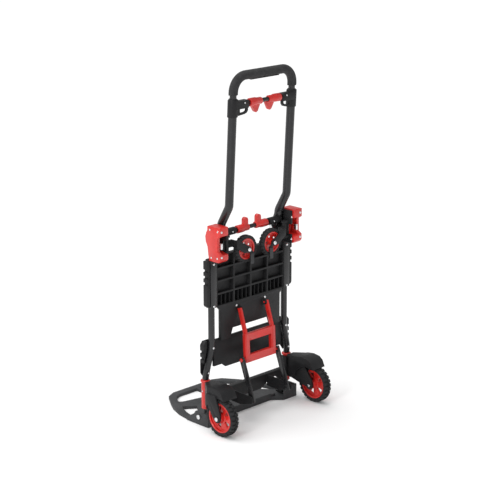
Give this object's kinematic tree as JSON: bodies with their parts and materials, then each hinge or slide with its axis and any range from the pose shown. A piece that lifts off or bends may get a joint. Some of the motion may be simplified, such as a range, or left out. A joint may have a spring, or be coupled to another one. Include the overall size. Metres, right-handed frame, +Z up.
{
  "type": "convertible hand truck",
  "caption": "Folding hand truck with a telescoping ribbed deck, folding toe plate, two wheels, two swing-out casters and a fold-forward telescopic handle.",
  "frame": {"origin": "on the floor, under the middle of the whole truck's box", "axes": "+Z up along the truck, +Y forward over the toe plate, +X to the right as the user stands behind it"},
  "size_m": [0.501, 0.447, 1.1825],
  "materials": {
    "black_paint": "gloss",
    "black_plastic": "satin",
    "grey_plastic": "satin",
    "red_plastic": "satin",
    "rubber": "matte",
    "foam": "matte",
    "zinc": "satin"
  },
  "bodies": {
    "lower_frame": {"lower_rail_left": "black_paint", "lower_rail_right": "black_paint", "post_left": "red_plastic", "post_right": "red_plastic", "fork_left": "black_plastic", "fork_right": "black_plastic", "wheel_axle_left": "zinc", "wheel_axle_right": "zinc", "toe_pivot_bolt_left": "zinc", "toe_pivot_bolt_right": "zinc", "lower_wing_left": "black_plastic", "lower_wing_right": "black_plastic", "cross_member": "black_plastic", "lower_deck": "black_plastic"},
    "toe": {"toe_plate": "grey_plastic"},
    "upper_frame": {"upper_channel_left": "black_paint", "upper_channel_right": "black_paint", "upper_wing_left": "black_plastic", "upper_wing_right": "black_plastic", "hinge_housing_left": "red_plastic", "hinge_housing_right": "red_plastic", "hinge_plate_left": "black_plastic", "hinge_plate_right": "black_plastic", "hinge_latch_left": "zinc", "hinge_latch_right": "zinc", "handle_pivot_left": "zinc", "handle_pivot_right": "zinc", "upper_deck": "black_plastic"},
    "release": {"release_frame": "red_plastic"},
    "straps": {"strap_arm_left": "black_paint", "strap_arm_right": "black_paint"},
    "handle": {"handle_tube_left": "black_paint", "handle_tube_right": "black_paint", "lower_sleeve_left": "black_plastic", "lower_sleeve_right": "black_plastic", "upper_bracket_left": "black_plastic", "upper_bracket_right": "black_plastic", "lower_cross_rod": "black_paint", "upper_cross_rod": "black_paint"},
    "grip": {"grip_tube": "black_paint", "grip_foam": "foam"},
    "wheel_left": {"tyre_left": "rubber", "rim_left": "red_plastic"},
    "caster_left": {"caster_arm_left": "black_plastic"},
    "caster_wheel_left": {"caster_tyre_left": "rubber", "caster_rim_left": "red_plastic"},
    "lower_release_left": {"lower_tab_left": "red_plastic", "lower_lock_pin_left": "zinc"},
    "upper_release_left": {"upper_tab_left": "red_plastic", "upper_lock_pin_left": "zinc"},
    "wheel_right": {"tyre_right": "rubber", "rim_right": "red_plastic"},
    "caster_right": {"caster_arm_right": "black_plastic"},
    "caster_wheel_right": {"caster_tyre_right": "rubber", "caster_rim_right": "red_plastic"},
    "lower_release_right": {"lower_tab_right": "red_plastic", "lower_lock_pin_right": "zinc"},
    "upper_release_right": {"upper_tab_right": "red_plastic", "upper_lock_pin_right": "zinc"}
  },
  "joints": [
    {"name": "frame_slide", "type": "slide", "parent": "lower_frame", "child": "upper_frame", "axis": [0, 0, 1], "range_m": [-0.114, 0]},
    {"name": "release_link", "type": "hinge", "parent": "upper_frame", "child": "release", "pos_m": [0, -0.0785, 0.378], "axis": [-1, 0, 0], "range_deg": [0, 56.61]},
    {"name": "strap_link", "type": "hinge", "parent": "release", "child": "straps", "pos_m": [0, -0.1115, 0.214], "axis": [1, 0, 0], "range_deg": [0, 110.72]},
    {"name": "handle_fold", "type": "hinge", "parent": "upper_frame", "child": "handle", "pos_m": [0, -0.0485, 0.622], "axis": [-1, 0, 0], "range_deg": [0, 180]},
    {"name": "grip_slide", "type": "slide", "parent": "handle", "child": "grip", "axis": [0, 0.0552, -0.9985], "range_m": [-0.2, 0]},
    {"name": "toe_fold", "type": "hinge", "parent": "lower_frame", "child": "toe", "pos_m": [0, -0.0375, 0.028], "axis": [-1, 0, 0], "range_deg": [-90, 0]},
    {"name": "wheel_spin_left", "type": "hinge", "parent": "lower_frame", "child": "wheel_left", "pos_m": [-0.2209, -0.1595, 0.064], "axis": [1, 0, 0], "continuous": true},
    {"name": "caster_swing_left", "type": "hinge", "parent": "upper_frame", "child": "caster_left", "pos_m": [-0.134, -0.0915, 0.615], "axis": [0, 0, -1], "range_deg": [0, 90]},
    {"name": "caster_spin_left", "type": "hinge", "parent": "caster_left", "child": "caster_wheel_left", "pos_m": [-0.0588, -0.1005, 0.5915], "axis": [0, 1, 0], "continuous": true},
    {"name": "lower_tab_slide_left", "type": "slide", "parent": "handle", "child": "lower_release_left", "axis": [1, 0, 0], "range_m": [0, 0.009], "stiffness_N_per_m": 400, "springref_m": -0.004},
    {"name": "upper_tab_slide_left", "type": "slide", "parent": "handle", "child": "upper_release_left", "axis": [1, 0, 0], "range_m": [0, 0.009], "stiffness_N_per_m": 400, "springref_m": -0.004},
    {"name": "wheel_spin_right", "type": "hinge", "parent": "lower_frame", "child": "wheel_right", "pos_m": [0.2209, -0.1595, 0.064], "axis": [1, 0, 0], "continuous": true},
    {"name": "caster_swing_right", "type": "hinge", "parent": "upper_frame", "child": "caster_right", "pos_m": [0.134, -0.0915, 0.615], "axis": [0, 0, 1], "range_deg": [0, 90]},
    {"name": "caster_spin_right", "type": "hinge", "parent": "caster_right", "child": "caster_wheel_right", "pos_m": [0.0588, -0.1005, 0.5915], "axis": [0, 1, 0], "continuous": true},
    {"name": "lower_tab_slide_right", "type": "slide", "parent": "handle", "child": "lower_release_right", "axis": [-1, 0, 0], "range_m": [0, 0.009], "stiffness_N_per_m": 400, "springref_m": -0.004},
    {"name": "upper_tab_slide_right", "type": "slide", "parent": "handle", "child": "upper_release_right", "axis": [-1, 0, 0], "range_m": [0, 0.009], "stiffness_N_per_m": 400, "springref_m": -0.004}
  ],
  "couplings": [
    {"joint": "release_link", "follows": "frame_slide", "rad_per_m": -8.5898},
    {"joint": "strap_link", "follows": "frame_slide", "rad_per_m": -16.875}
  ]
}
